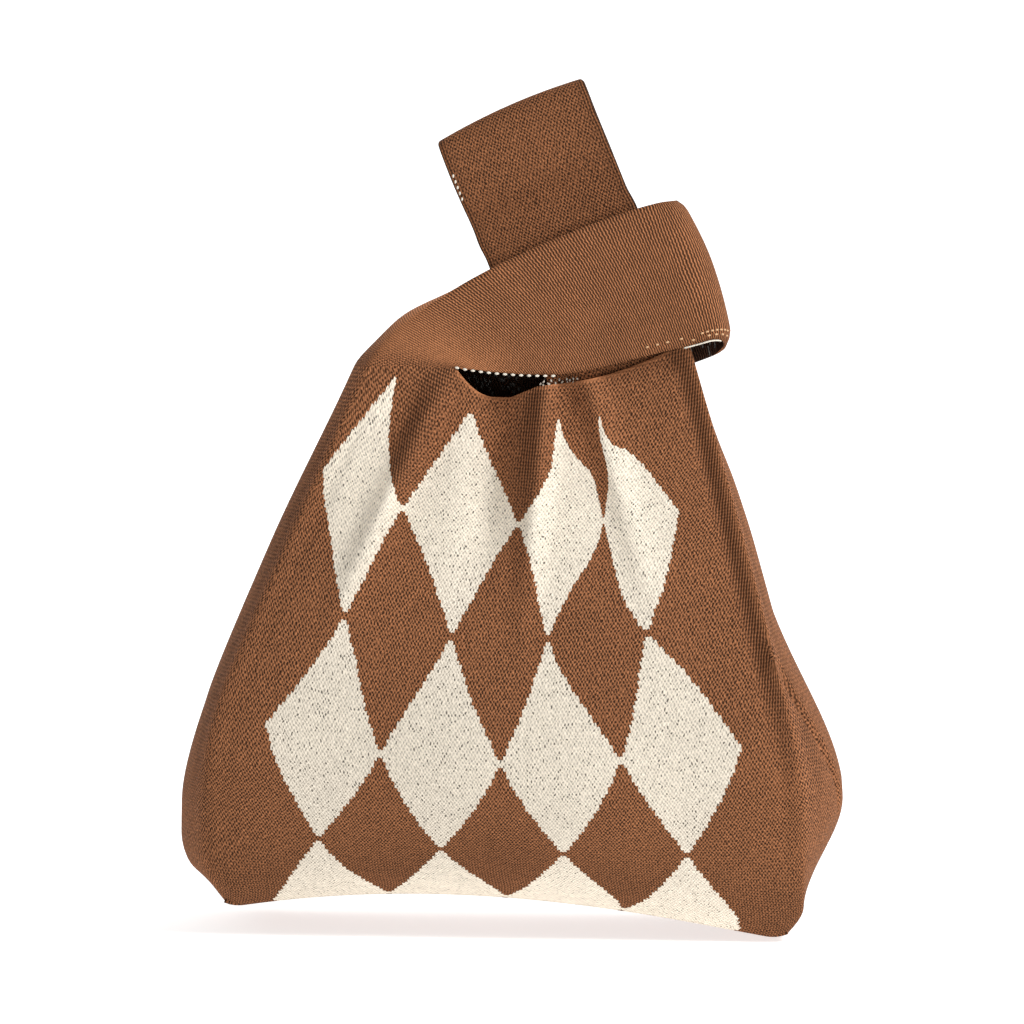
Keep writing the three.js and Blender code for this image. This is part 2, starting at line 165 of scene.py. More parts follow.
def half_width(z):
    """Half of the way from fold to fold."""
    return (fold_line(1, z) + fold_line(-1, z)) / 2


def depth_at(side, z):
    """Middle plane to panel: full up to FULL_HEIGHT, then a taper, partly straight and partly smooth, to
    a top that gets flatter from the left shoulder to the long handle on the right. The foot is drawn in."""
    top = mix(LEFT_TOP_DEPTH, RIGHT_TOP_DEPTH, above(side, -1, 1.25))
    rise = np.clip((z - FULL_HEIGHT) / (STRAP_FOOT_LEFT[2] - FULL_HEIGHT), 0, 1)
    smooth_share, foot_height = 0.35, 34
    taper = mix(rise, smooth(rise), smooth_share)
    return mix(HALF_DEPTH, top, taper) - FOOT_DRAWN_FLAT * drop(z / foot_height)


def rim_height(facing, x):
    """The front rim falls steeply from the short handle's corner and then climbs to the right: quickly in
    the middle, slowly beyond it, and more and more at the end. The back rim stays up until it passes
    behind the long handle, and there it follows that handle's slanting foot."""
    if facing < 0:
        low = MOUTH_LOW_HEIGHT + 0.42 * np.clip(x + 1, 0, 12) + 0.1 * np.maximum(0, x - 11)
        low = low + 0.0045 * np.maximum(0, x - 20) ** 2
        corner_width = 17
        return mix(SHOULDER_HEIGHT, low, 1 - drop((x - MOUTH_LEFT).clip(0) / corner_width))
    foot = STRAP_FOOT_LEFT[2] + STRAP_FOOT_SLOPE * np.maximum(0, x - STRAP_FOOT_LEFT[0])
    return mix(SHOULDER_HEIGHT, foot, above(x, 14, 40))


def gathers(facing, x, z):
    """How far the cloth below the mouth stands out. The rim is pushed out between its corners. On the
    front, bells of cloth and one hollow start at the rim, drift sideways on the way down and fade out."""
    push, push_from, push_width = (8 if facing < 0 else 5), 176, 18
    pushed = push * above(z, push_from, SHOULDER_HEIGHT - push_from) * bump(x, MOUTH_LOW, push_width)
    if facing > 0:
        return pushed
    down = SHOULDER_HEIGHT - z

    def gather(out, start, drift, width, fades_at, span):
        return out * bump(x, start + drift * down, width) * above(z, fades_at, span)

    left = gather(out=11, start=MOUTH_LEFT - 2, drift=-0.45, width=6, fades_at=110, span=100)
    left = left * mix(0.25, 1, smooth(down / 25))
    middle = gather(out=9, start=15, drift=-0.08, width=5, fades_at=100, span=115)
    middle = middle * mix(0.5, 1, smooth(down / 20))
    right = gather(out=5, start=30, drift=0.3, width=6, fades_at=125, span=80)
    hollow = gather(out=-9, start=-4, drift=-0.1, width=9, fades_at=130, span=80)
    return pushed + left + middle + right + hollow


def sag(x, z):
    """Slow hollows and swellings of cloth that holds little: crossed sine waves, with none at the foot."""
    crossed = 0.9 * np.sin(x / 21 + z / 47) * np.sin(z / 31 - 0.6)
    return (crossed + 0.6 * np.sin(x / 13 - z / 29 + 1)) * smooth(z / 40)


def foot_lift(x, y, z):
    """How far a point near the foot is raised. The bag stands on its two ends, so its foot sags upwards
    between them. Its left front corner is raised and both lower corners are rounded. All this fades out
    above."""
    share = ((x + FOOT_HALF_LENGTH) / (2 * FOOT_HALF_LENGTH)).clip(0, 1)
    front = LEFT_CORNER_RAISED * (1 - share) * mix(0.35, 1, below(y, 25, 60))
    between = FOOT_SAG * share * (1 - share) ** 1.2
    corner = CORNER_ROUNDED * ((np.abs(x + 2) - 110) / 12).clip(0) ** 2
    sag_height, corner_height = 80, 25
    return (front + between) * drop(z / sag_height) + corner * drop(z / corner_height)


def fold_crest(side, z):
    """How far a corner fold stands out. The right one, which carries the long handle, is the sharper."""
    high = np.where(side > 0, mix(2.6, 1.6, above(z, 190, 40)), 1.3)
    return high * above(z, 20, 60) * below(z, np.where(side > 0, 275, 235), 30)


def tucked_in(turn, z):
    """The right shoulder's back corner (turn 1) hangs a little further in than the front one (turn -1)."""
    return 3.8 * above(turn, -1, 2) * above(z, 190, 40)


def panel(facing, side, z):
    """The front (facing -1) or back (facing 1), with side from the left fold (-1) to the right one (1). To
    its depth come a swelling that is fullest in the middle, the gathers, the sag and a crest at each fold."""
    x = middle_x(z) + half_width(z) * side
    swell = SWELL * np.maximum(0, 1 - ((z - SWELL_MIDDLE) / SWELL_REACH) ** 2) * (1 - side * side)
    inside = (1 - np.abs(side)) * half_width(z)
    trough, crest_width = 7, 2.5
    crease = fold_crest(side, z) * (bump(inside, 0, crest_width) - 0.85 * bump(inside, trough, crest_width))
    y = facing * (depth_at(side, z) + swell + gathers(facing, x, z) + sag(x, z) * (1 - side ** 4) + crease)
    x = x - tucked_in(facing, z) * above(side, 0.6, 0.4)
    return np.stack([x, y, z + foot_lift(x, y, z)], -1)


def gusset(hand, turn, z):
    """The left (hand -1) or right (hand 1) side, from its front fold (turn -1) to its back one (turn 1). It
    swells outwards by a share 1 - turn^2, and on the right a crease slants down and back from the front
    fold."""
    low_out, middle_out, top_out = 16, 10.4, 7.6
    left = mix(mix(middle_out, top_out, above(z, 165, 75)), low_out, below(z, 98, 45)) * (1 - drop(z / 38))
    low_out, top_out = 17.5, 3.6
    lower = ((136 - z) / 70).clip(0, 1)
    right = mix(top_out * below(z, 238, 75), low_out, (smooth(lower) + lower) / 2) * above(z, 10, 48)
    swell = np.where(hand < 0, left, right)
    crease_turn = np.clip(-0.3 - 0.0115 * (z - 62), -1, -0.3)
    crease_depth, crease_width = 3, 0.05
    crease = crease_depth * bump(turn, crease_turn, crease_width) * above(z, 48, 15) * below(z, 130, 30)
    crease = crease * (hand > 0)
    out = half_width(z) + swell * (1 - turn * turn) - crease
    x = middle_x(z) + hand * out - tucked_in(turn, z) * (hand > 0)
    y = turn * depth_at(hand, z)
    y += turn * fold_crest(hand, z) * bell((1 - np.abs(turn)) * 8)
    return np.stack([x, y, z + foot_lift(x, y, z)], -1)


def rim_at_side(facing, side):
    """The rim's height at a share of the half width. That width depends on the height, so it is found by
    steps."""
    z = np.full_like(side, SHOULDER_HEIGHT)
    for _ in range(8):
        z = rim_height(facing, middle_x(z) + half_width(z) * side)
    return z


def course_of(side, z):
    """Courses up from the foot. The knit hangs, so a course lies lower in the middle than at the ends, by
    a smile that grows as side squared. Courses are closer together at the foot and in the third row of
    diamonds."""
    smile = (LEFT_SMILE + 6 * above(z, 190, 50)) * (-side).clip(0) ** 2 + RIGHT_SMILE * side.clip(0) ** 2
    level = z - smile * smooth(z / 60)
    diamonds = level / DIAMOND_HEIGHT + 0.289 * (1 - drop(level / 69.4)) + 0.096 * above(level, 154, 50)
    return ARGYLE_COURSES * diamonds - 2


def wale_of(side, z):
    """Wales to the right of the middle. Above mid height the gathers shift them, by bells of side, and
    beside the corner folds they keep a width of their own."""
    drawn = 0.286 * bump(side, -0.68, 0.58) + 0.2 * above(side, 0.32, 0.15) - 0.08
    tucked = 0.2 * above(z, 190, 28) * bump(side, 0.35, 0.19)
    early = 0.093 * bump(side, 0.37, 0.28) * bump(z, 131, 30)
    beyond = np.sign(side) * (np.abs(side) - 0.83).clip(0)
    kept = beyond * (half_width(z) / (WALE_BESIDE_FOLD * DIAMONDS_PER_SIDE * ARGYLE_WALES) - 1)
    return DIAMONDS_PER_SIDE * ARGYLE_WALES * (side + drawn * above(z, 106, 120) + tucked + early + kept)


SHOULDER = np.array(float(SHOULDER_HEIGHT))
MOUTH_SIDE = float((MOUTH_LEFT - middle_x(SHOULDER)) / half_width(SHOULDER))
LEVEL_SIDE = -0.7
SHOULDER_COURSE = course_of(np.array(LEVEL_SIDE), SHOULDER)


def bezier(a, b, c, d, t):
    """The cubic curve from a to d that leaves towards b and arrives from c."""
    t = np.asarray(t, float)[..., None]
    s = 1 - t
    return s ** 3 * a + 3 * s * s * t * b + 3 * s * t * t * c + t ** 3 * d


def leg_edges(facing):
    """Control points of a leg's upper and lower edge, from the pouch to the right end."""
    y = facing * BAND_RADIUS
    raised = 0 if facing < 0 else 5

    def edge(start, leave, arrive, end):
        first = np.array([start[0] + leave[0], (start[1] + y) / 2, start[2] + leave[1]])
        last = np.array([end[0], y, end[2]])
        return start, first, last + [arrive[0], 0, arrive[1]], last

    seam_top = panel(facing, np.array(-1.0), SHOULDER)
    mouth_corner = panel(facing, np.array(MOUTH_SIDE), SHOULDER)
    upper = edge(seam_top, (9, 20), (-64, -20), FOLD_HIGH)
    lower = edge(mouth_corner, (12, -3 + raised), (-48, -14 - raised), FOLD_LOW)
    return upper, lower


def leg(facing, side, v):
    """Short handle's front or back leg. side is the panel's, from the left seam to the mouth's corner, and
    v runs from the pouch to the right end. It is straight from its lower edge (u 0) to its upper one (u 1),
    plus a bow of 16 u (1 - u) v (1 - v). Towards the right end the lower edge is raised in front and hangs
    behind, and at the start the panel's own rim takes over."""
    upper, lower = leg_edges(facing)
    u = (MOUTH_SIDE - side) / (MOUTH_SIDE + 1)
    flat = mix(bezier(*lower, v), bezier(*upper, v), u[..., None])
    flat[..., 1] += facing * (1.6 + 1.2 * drop(v)) * 4 * u * (1 - u) * 4 * v * (1 - v)
    flat[..., 2] -= facing * (FRONT_RAISED if facing < 0 else BACK_HANGS) * (1 - u) * above(v, 0.5, 0.4)
    start = mix(lower[0], upper[0], u[..., None])
    rim = panel(facing, side, np.full_like(side, SHOULDER_HEIGHT))
    return flat + (rim - start) * drop(v / 0.5)[..., None]


def band_fold(u, turn):
    """Half a tube round the long handle's right edge, from the front (turn -90 degrees) to the back (90),
    and from the lower edge (u 0) to the upper one (u 1). It is fullest at mid height, its lower edge is
    raised in front and hangs behind, and its two outer corners are rounded."""
    edge = mix(FOLD_LOW, FOLD_HIGH, u[..., None])
    way = (FOLD_HIGH - FOLD_LOW) / np.linalg.norm(FOLD_HIGH - FOLD_LOW)
    out = np.array([way[2], 0, -way[0]])
    fullness = 12 * u * (1 - u)
    point = edge + ((BAND_RADIUS + fullness) * np.cos(turn))[..., None] * out
    point[..., 1] = BAND_RADIUS * np.sin(turn)
    lower_edge = np.where(turn < 0, FRONT_RAISED, BACK_HANGS) * (1 - u) * np.sin(turn)
    upward = 2 * u - 1
    point[..., 2] -= 2.2 * smooth(upward) * np.cos(turn) + lower_edge
    corner = 2 * ((upward - 0.84).clip(0) / 0.16) ** 2 + 3 * ((-upward - 0.8).clip(0) / 0.2) ** 2
    return point - (corner * np.cos(turn))[..., None] * out


def shoulder(turn, v):
    """Closes the first half of the two legs over the left shoulder. From the front leg's upper edge
    (turn -1) to the back one's (turn 1) it bows out by a share 1 - turn^2, and near the pouch it takes over
    the left gusset's swelling."""
    t = 0.5 * v
    front, back = bezier(*leg_edges(-1)[0], t), bezier(*leg_edges(1)[0], t)
    way = bezier(*leg_edges(-1)[0], t + 0.01) - front
    out = np.stack([-way[..., 2], 0 * t, way[..., 0]], -1)
    out /= np.linalg.norm(out, axis=-1, keepdims=True)
    bow = 4 * (1 - smooth(2 * v - 1)) * (1 - turn * turn)
    share = ((turn + 1) / 2)[..., None]
    top = np.full_like(turn, SHOULDER_HEIGHT)
    start = mix(panel(-1, -np.ones_like(turn), top), panel(1, -np.ones_like(turn), top), share)
    swell = mix(gusset(-1, turn, top) - start, out * bow[..., None], smooth(3 * v)[..., None])
    return mix(front, back, share) + swell


def nothing(u, v):
    """0 all over the grid."""
    return 0 * u


def unpulled(u, v):
    """Closed both along the courses and along the wales."""
    return 0 * u, 0 * v


def patch(surface, us, vs, knit, pull=unpulled, soften=nothing, taut_and_lit=nothing, even=None):
    """A grid of surface(u, v), with its place in the knit (wales, courses), how far the knit is pulled
    open (along its courses, along its wales), how far the mesh is smoothed there and how taut and pale the
    knit is, the paleness being painted highlight. even gives wales of one width, for the stitches' relief,
    where those of the pattern aren't."""
    u, v = np.meshgrid(us, vs)
    wales, courses = knit(u, v)
    even_wales = wales if even is None else even(u, v)
    return {
        "points": surface(u, v),
        "knit": np.stack([wales, courses], -1),
        "pull": np.stack(np.broadcast_arrays(*pull(u, v)), -1),
        # The relief layer's second value is how taut the knit is and how much painted highlight it gets.
        "relief": np.stack(np.broadcast_arrays(even_wales, taut_and_lit(u, v)), -1),
        "soften": np.broadcast_to(soften(u, v), u.shape),
    }


def relax(mesh, rounds):
    """Each round moves a point by a step of its softness towards its neighbours' average, in which each of
    them weighs 1 / distance. A point on an open edge looks along that edge only."""
    count = len(mesh.vertices)
    places = np.empty(count * 3)
    mesh.vertices.foreach_get("co", places)
    places = places.reshape(-1, 3)
    softness = np.empty(count, np.float32)
    mesh.attributes["soften"].data.foreach_get("value", softness)
    edges = np.empty(len(mesh.edges) * 2, int)
    mesh.edges.foreach_get("vertices", edges)
    edges = edges.reshape(-1, 2)
    faces_beside = np.zeros(len(mesh.edges), int)
    loops = np.empty(len(mesh.loops), int)
    mesh.loops.foreach_get("edge_index", loops)
    np.add.at(faces_beside, loops, 1)
    open_edges = faces_beside == 1
    on_border = np.zeros(count, bool)
    on_border[edges[open_edges].ravel()] = True
    both_ways = np.concatenate([edges, edges[:, ::-1]])
    along_border = np.concatenate([open_edges, open_edges])
    both_ways = both_ways[~on_border[both_ways[:, 0]] | along_border]
    here, there = both_ways.T
    step, shortest = 0.6, 1e-4
    weight = 1 / np.linalg.norm(places[here] - places[there], axis=1).clip(shortest)
    total_weight = np.bincount(here, weight, count).clip(1)
    for _ in range(rounds):
        total = np.zeros_like(places)
        np.add.at(total, here, places[there] * weight[:, None])
        places += step * softness[:, None] * (total / total_weight[:, None] - places)
    mesh.vertices.foreach_set("co", places.ravel())


def add_object(name, mesh):
    """Puts a smooth-shaded mesh into the scene, unmoved."""
    mesh.polygons.foreach_set("use_smooth", np.ones(len(mesh.polygons), bool))
    mesh.update()
    thing = bpy.data.objects.new(name, mesh)
    bpy.context.collection.objects.link(thing)
    return thing


def turn_outwards(mesh, join_within=0.0):
    """Turns the faces outwards, after joining points that lie closer together than a distance."""
    work = bmesh.new()
    work.from_mesh(mesh)
    if join_within:
        bmesh.ops.remove_doubles(work, verts=work.verts, dist=join_within)
    bmesh.ops.recalc_face_normals(work, faces=work.faces)
    work.to_mesh(mesh)
    work.free()


def sheet_mesh(name, patches, rounds=0):
    """Joins patches along the edges they share and smooths them where they ask for it."""
    faces, start = [], 0
    for p in patches:
        rows, columns = p["points"].shape[:2]
        index = start + np.arange(rows * columns).reshape(rows, columns)
        corners = [index[:-1, :-1], index[:-1, 1:], index[1:, 1:], index[1:, :-1]]
        faces.append(np.stack(corners, -1).reshape(-1, 4))
        start += rows * columns
    points = np.concatenate([p["points"].reshape(-1, 3) * MM for p in patches])
    faces = np.concatenate(faces)
    mesh = bpy.data.meshes.new(name)
    mesh.from_pydata(points.tolist(), [], faces.tolist())
    for layer in ("knit", "pull", "relief"):
        values = np.concatenate([p[layer].reshape(-1, 2) for p in patches])[faces.reshape(-1)]
        mesh.uv_layers.new(name=layer).data.foreach_set("uv", values.astype(np.float32).ravel())
    soften = np.concatenate([p["soften"].reshape(-1) for p in patches]).astype(np.float32)
    mesh.attributes.new("soften", "FLOAT", "POINT").data.foreach_set("value", soften)
    turn_outwards(mesh, join_within=5e-5)
    relax(mesh, rounds)
    return add_object(name, mesh)


LEFT_SIDES = np.linspace(-1, MOUTH_SIDE, 25)
RIGHT_SIDES = np.linspace(MOUTH_SIDE, 1, 81)
TURNS = np.linspace(-1, 1, 81)
UPWARDS = np.linspace(0, 1, 109)


def panel_patch(facing, sides, has_rim):
    """A stretch of a panel between two shares of its half width. Beside the right fold and along the
    gathers its wales are pulled open, below the short handle its courses are, and where the rim is free
    its last course is taut and paler, as is a thin strip on the right fold's crest: the paleness is painted
    highlight."""

    def height(side, v):
        return mix(FOOT, rim_at_side(facing, side), v)

    def place(side, v):
        return panel(facing, side, height(side, v))

    def stitches(side, v):
        z = height(side, v)
        return wale_of(side, z), course_of(side, z)

    def pull(side, v):
        z = height(side, v)
        x = middle_x(z) + half_width(z) * side
        down = SHOULDER_HEIGHT - z
        on_gathers = bump(x, MOUTH_LEFT - 5 - 0.45 * down, 8) + bump(x, 10.5 - 0.08 * down, 7)
        beside_fold = below((1 - side) * half_width(z), 13, 6) * above(z, 60, 60)
        open_wales = on_gathers * above(z, 160, 45) + 0.5 * below(z, 52, 40) + beside_fold
        open_courses = 0.3 * above(z, 185, 55) * below(side, MOUTH_SIDE + 0.1, 0.2)
        return open_courses, open_wales * (1 - open_courses)

    def soften(side, v):
        at_fold = mix(0.9, 0.4, side > 0) * bell((1 - np.abs(side)) / 0.04)
        under_handle = above(v, 0.92, 0.08) * below(side, MOUTH_SIDE, 0.05)
        return np.maximum(at_fold, 0.9 * under_handle)

    # A paler strip along the right fold's crest and along the free rim's last course: painted highlight, with
    # the knit taut there.
    def taut_and_lit(side, v):
        z = height(side, v)
        beside_fold = 0.35 * bump((1 - side) * half_width(z), 0.5, 2.5) * above(z, 90, 60)
        return np.maximum(beside_fold, 0.6 * (v > 0.995))

    def even(side, v):
        return side * half_width(height(side, v)) / WALE

    return patch(place, sides, UPWARDS, stitches, pull, soften, taut_and_lit if has_rim else nothing, even)


def even_on_handle(side, v):
    """Wales of one width across the short handle."""
    return side * half_width(SHOULDER) / WALE


def leg_patch(facing):
    """One leg of the short handle. Its courses run on from the panel's and are counted over the leg's
    length. It is pulled open along them, and taut and paler where it comes over the shoulder: the paleness
    is painted highlight where the leg faces up."""

    def place(side, v):
        return leg(facing, side, v)

    def stitches(side, v):
        steps = np.linalg.norm(np.diff(leg(facing, side, v), axis=0), axis=-1)
        run = np.vstack([np.zeros_like(steps[:1]), np.cumsum(steps, axis=0)]) / steps.sum(axis=0)
        top = np.full_like(side, SHOULDER_HEIGHT)
        start = course_of(mix(side, LEVEL_SIDE, smooth(v / 0.45)), top)
        if facing > 0:
            start, run = start + 2 * LEG_COURSES + FOLD_COURSES, -run
        return wale_of(side, top), start + LEG_COURSES * run

    def pull(side, v):
        return mix(0.3, 1 - 0.3 * below(v, 0.55, 0.45), smooth(v / 0.3)), 0 * v

    def soften(side, v):
        over_shoulder = 0.95 * below(v, 0.4, 0.25) * below(side, MOUTH_SIDE, 0.06)
        return over_shoulder + 0.9 * bump(v, 1, 0.06)

    # Paler where the leg comes over the shoulder and faces up: painted highlight, with the knit taut there.
    def taut_and_lit(side, v):
        return 0.58 * below(v, 0.55, 0.45) * smooth(v / 0.3)

    return patch(place, LEFT_SIDES, np.linspace(0, 1, 91), stitches, pull, soften, taut_and_lit, even_on_handle)


def gusset_patch(hand):
    """A side of the pouch, up to the shoulder on the left and to the rim on the right. Its wales are counted
    beyond the argyle's, and they are pulled open in a strip beside each fold."""
    top = SHOULDER_HEIGHT if hand < 0 else rim_at_side(-1, np.array([1.0]))[0]

    def place(turn, v):
        return gusset(hand, turn, mix(FOOT, top, v))

    def stitches(turn, v):
        z = mix(FOOT, top, v)
        return turn * depth_at(hand, z) / WALE + GUSSET_WALE * hand, course_of(np.full_like(z, hand * 0.9), z)

    def pull(turn, v):
        open_courses = 0.3 * above(v, 0.75, 0.25) * (hand < 0)
        open_wales = 0.7 * bump(np.abs(turn), 0.75, 0.12) * above(v, 0.15, 0.2) * below(v, 0.97, 0.15)
        return open_courses, open_wales

    def soften(turn, v):
        at_fold = (0.9 if hand < 0 else 0.4) * bell((1 - np.abs(turn)) / 0.12)
        under_shoulder = 0.9 * above(v, 0.86, 0.1) * (hand < 0)
        return np.maximum(at_fold, under_shoulder)

    return patch(place, TURNS, UPWARDS, stitches, pull, soften)


def shoulder_patch():
    """The left shoulder, soft and fairly taut, and paler towards the short handle: painted highlight where it
    faces up.
    """

    def stitches(turn, v):
        start = course_of(-0.9 + 0 * v, SHOULDER_HEIGHT + 0 * v)
        return turn * 15 - GUSSET_WALE, start + 0.5 * LEG_COURSES * v

    def pull(turn, v):
        return mix(0.3, 0.7, smooth(v / 0.6)), 0 * v

    def soften(turn, v):
        return 0.9 + 0 * v

    # Paler towards the short handle, where the shoulder faces up: painted highlight, with the knit taut.
    def taut_and_lit(turn, v):
        return 0.5 * smooth(v / 0.6)

    return patch(shoulder, TURNS, np.linspace(0, 1, 46), stitches, pull, soften, taut_and_lit)


def fold_patch():
    """The short handle's right end, which carries on the front leg's courses to the back leg."""

    def place(side, turn):
        return band_fold((MOUTH_SIDE - side) / (MOUTH_SIDE + 1), turn)

    def stitches(side, turn):
        courses = SHOULDER_COURSE + LEG_COURSES + FOLD_COURSES * (turn / np.pi + 0.5)
        return wale_of(side, np.full_like(side, SHOULDER_HEIGHT)), courses

    def pull(side, turn):
        return 1 + 0 * turn, 0 * turn

    def soften(side, turn):
        return 0.9 * bell((np.pi / 2 - np.abs(turn)) / 0.3)

    half_turn = np.linspace(-np.pi / 2, np.pi / 2, 23)
    return patch(place, LEFT_SIDES, half_turn, stitches, pull, soften, even=even_on_handle)


shell_patches = []
for facing in (-1, 1):
    shell_patches += [panel_patch(facing, LEFT_SIDES, False), panel_patch(facing, RIGHT_SIDES, True)]
    shell_patches.append(leg_patch(facing))
shell_patches += [gusset_patch(-1), gusset_patch(1), shoulder_patch(), fold_patch()]
shell = sheet_mesh("knit_shell", shell_patches, rounds=24)


def add_wall(thing, thickness, offset):
    """Gives a sheet its thickness: behind its faces (offset -1), or half of it on each side (offset 0)."""
    wall = thing.modifiers.new("wall", "SOLIDIFY")
    wall.thickness = thickness * MM
    wall.offset = offset
    return wall


THINNEST_SHARE = 0.08


def thin_corners(thing):
    """The wall thins out at the two corners of the mouth, where the handle's edge lies over the rim, and
    along the sharp folds of the right gusset."""
    places = np.empty(len(thing.data.vertices) * 3)
    thing.data.vertices.foreach_get("co", places)
    places = places.reshape(-1, 3)
    corners = [panel(facing, np.array(MOUTH_SIDE), SHOULDER) * MM for facing in (-1, 1)]
    near = np.min([np.linalg.norm(places - corner, axis=1) for corner in corners], axis=0)
    x, _, z = places.T / MM
    on_gusset = above(x - middle_x(z) - half_width(z), -8, 5) * above(z, 60, 40) * below(z, 260, 4)
    thinned = 0.65 * on_gusset
    share = above(near, 0.001, 0.011) * (1 - thinned)
    group = thing.vertex_groups.new(name="wall")
    full = share > 0.999
    group.add(np.flatnonzero(full).tolist(), 1.0, "REPLACE")
    for k in np.flatnonzero(~full).tolist():
        group.add([k], float(share[k]), "REPLACE")
    return group.name


wall = add_wall(shell, WALL, -1)
wall.material_offset = 1
wall.vertex_group = thin_corners(shell)
wall.thickness_vertex_group = THINNEST_SHARE


class Wire:
    """A shader value that takes part in plain arithmetic."""

    def __init__(self, shader, socket):
        self.shader, self.socket = shader, socket

    def math(self, operation, *others, clamp=False):
        return self.shader.math(operation, self, *others, clamp=clamp)

    def __add__(self, other):
        return self.math("ADD", other)

    __radd__ = __add__

    def __sub__(self, other):
        return self.math("SUBTRACT", other)

    def __rsub__(self, other):
        return self.shader.math("SUBTRACT", other, self)

    def __mul__(self, other):
        return self.math("MULTIPLY", other)

    __rmul__ = __mul__

    def __truediv__(self, other):
        return self.math("DIVIDE", other)

    def __rtruediv__(self, other):
        return self.shader.math("DIVIDE", other, self)

    def floor(self):
        return self.math("FLOOR")

    def part(self):
        return self.math("FRACT")

    def size(self):
        return self.math("ABSOLUTE")

    def cos(self):
        return self.math("COSINE")

    def below(self, other):
        return self.math("LESS_THAN", other)

    def at_most(self, other):
        return self.math("MINIMUM", other)

    def clamped(self):
        return self.math("ADD", 0, clamp=True)

    def wrapped(self, period):
        return self.math("WRAP", period, 0)


class Shader:
    """A material's node tree under construction."""

    def __init__(self, name):
        self.material = bpy.data.materials.new(name)
        self.material.use_nodes = True
        self.tree = self.material.node_tree
        self.tree.nodes.clear()

    def add(self, kind, settings=(), sockets=()):
        """A node of a type, with its settings and with the values or links of its sockets."""
        node = self.tree.nodes.new(kind)
        for name, value in dict(settings).items():
            setattr(node, name, value)
        for name, value in dict(sockets).items():
            self.feed(node.inputs[name], value)
        return node

    def feed(self, socket, value):
        """Links a shader value to a socket, or sets a plain one."""
        if isinstance(value, Wire):
            self.tree.links.new(value.socket, socket)
        else:
            socket.default_value = value

    def out(self, node, name):
        return Wire(self, node.outputs[name])

    def math(self, operation, *values, clamp=False):
        settings = {"operation": operation, "use_clamp": clamp}
        return self.out(self.add("ShaderNodeMath", settings, dict(enumerate(values))), "Value")

    def pair(self, layer):
        """The two values of a UV layer."""
        place = self.out(self.add("ShaderNodeUVMap", {"uv_map": layer}), "UV")
        node = self.add("ShaderNodeSeparateXYZ", {}, {"Vector": place})
        return self.out(node, "X"), self.out(node, "Y")

    def where(self):
        """The place in the object, in metres."""
        return self.out(self.add("ShaderNodeTexCoord"), "Object")

    def blend(self, kind, share, a, b):
        """Two colours, mixed in one of the ways of the Mix node."""
        node = self.add("ShaderNodeMix", {"data_type": "RGBA", "blend_type": kind}, {0: share, 6: a, 7: b})
        return self.out(node, 2)

    def noise(self, scale, detail=2.0, rough=0.5):
        """Soft noise of about 0 to 1 over the place in the object."""
        sockets = {"Vector": self.where(), "Scale": scale, "Detail": detail, "Roughness": rough}
        return self.out(self.add("ShaderNodeTexNoise", {}, sockets), "Fac")

    def per_stitch(self, column, row):
        """A random value for each whole column and row."""
        place = self.out(self.add("ShaderNodeCombineXYZ", {}, {"X": column, "Y": row}), "Vector")
        node = self.add("ShaderNodeTexWhiteNoise", {"noise_dimensions": "3D"}, {"Vector": place})
        return self.out(node, "Value")

    def grey(self, value):
        return self.out(self.add("ShaderNodeCombineColor", {}, {0: value, 1: value, 2: value}), "Color")

    def relief(self, height, strength, distance):
        """The surface's direction, tilted by a height."""
        sockets = {"Strength": strength, "Distance": distance, "Height": height}
        return self.out(self.add("ShaderNodeBump", {}, sockets), "Normal")

    def skin(self, sockets):
        """Ends the tree in one surface with these inputs, and gives the material."""
        surface = self.add("ShaderNodeBsdfPrincipled", {}, sockets)
        self.add("ShaderNodeOutputMaterial", {}, {"Surface": self.out(surface, "BSDF")})
        return self.material


def srgb(red, green, blue):
    """A screen colour, 0 to 255, as the linear colour that a shader takes."""
    shares = [c / 255 for c in (red, green, blue)]
    return (*(c / 12.92 if c <= 10 / 255 else ((c + 0.055) / 1.055) ** 2.4 for c in shares), 1.0)


BROWN, CREAM = srgb(135, 88, 58), srgb(206, 196, 180)
# The reverse side's near-black ground is painted shade for the inside of the pouch; its specks are pale yarn.
REVERSE_PAINTED_SHADE, REVERSE_SPECK = (0.04, 0.018, 0.01, 1), (0.11, 0.1, 0.09, 1)
SPECK_SHARE = 0.15
DARKEST = 0.84
FULL_TURN = 2 * math.pi


